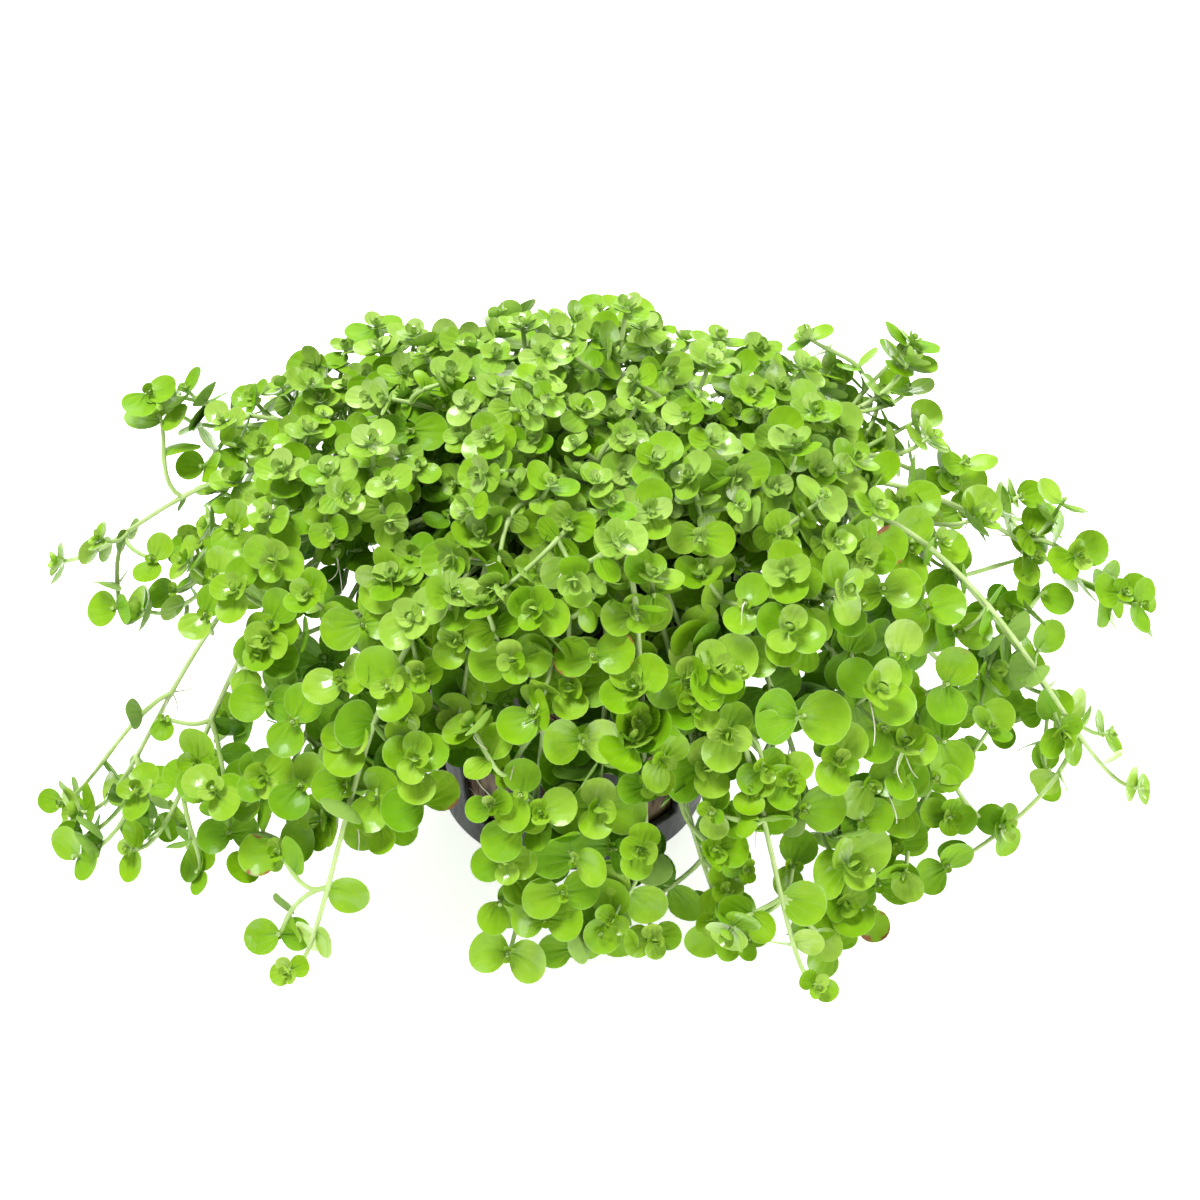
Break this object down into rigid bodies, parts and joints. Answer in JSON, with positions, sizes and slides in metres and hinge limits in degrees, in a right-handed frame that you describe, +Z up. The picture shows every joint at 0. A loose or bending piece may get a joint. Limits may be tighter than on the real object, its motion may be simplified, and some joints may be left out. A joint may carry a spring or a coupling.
{
  "type": "creeping plant in a net pot",
  "caption": "Dense cushion of creeping stems with round opposite leaves, spilling over a small tapered net pot that stands on its flat base.",
  "frame": {"origin": "middle of the pot's flat base, on the ground", "axes": "+Z up the pot's axis; the picture looks along +Y, with +X to its right, the plant's longest way"},
  "size_m": [0.1741, 0.1194, 0.0834],
  "materials": {
    "pot_plastic": "satin dark grey",
    "growing_wool": "damp brown fibre",
    "leaf_green": "bright yellow-green, slightly glossy, paler underneath"
  },
  "bodies": {
    "root": {"pot": "pot_plastic", "plug": "growing_wool", "stem_01": "leaf_green", "stem_02": "leaf_green", "stem_03": "leaf_green", "stem_04": "leaf_green", "stem_05": "leaf_green", "stem_06": "leaf_green", "stem_07": "leaf_green", "stem_08": "leaf_green", "stem_09": "leaf_green", "stem_10": "leaf_green", "stem_11": "leaf_green", "stem_12": "leaf_green", "stem_13": "leaf_green", "stem_14": "leaf_green", "stem_15": "leaf_green", "stem_16": "leaf_green", "stem_17": "leaf_green", "stem_18": "leaf_green", "stem_19": "leaf_green", "stem_20": "leaf_green", "stem_21": "leaf_green", "stem_22": "leaf_green", "stem_23": "leaf_green", "stem_24": "leaf_green", "stem_25": "leaf_green", "stem_26": "leaf_green", "stem_27": "leaf_green", "stem_28": "leaf_green", "stem_29": "leaf_green", "stem_30": "leaf_green", "stem_31": "leaf_green", "stem_32": "leaf_green", "stem_33": "leaf_green", "stem_34": "leaf_green", "stem_35": "leaf_green", "stem_36": "leaf_green", "stem_37": "leaf_green", "stem_38": "leaf_green", "stem_39": "leaf_green", "stem_40": "leaf_green", "stem_41": "leaf_green", "stem_42": "leaf_green", "stem_43": "leaf_green", "stem_44": "leaf_green", "stem_45": "leaf_green", "stem_46": "leaf_green", "stem_47": "leaf_green", "stem_48": "leaf_green", "stem_49": "leaf_green", "stem_50": "leaf_green", "stem_51": "leaf_green", "stem_52": "leaf_green", "stem_53": "leaf_green", "stem_54": "leaf_green", "stem_55": "leaf_green", "stem_56": "leaf_green", "stem_57": "leaf_green", "stem_58": "leaf_green"}
  },
  "joints": []
}
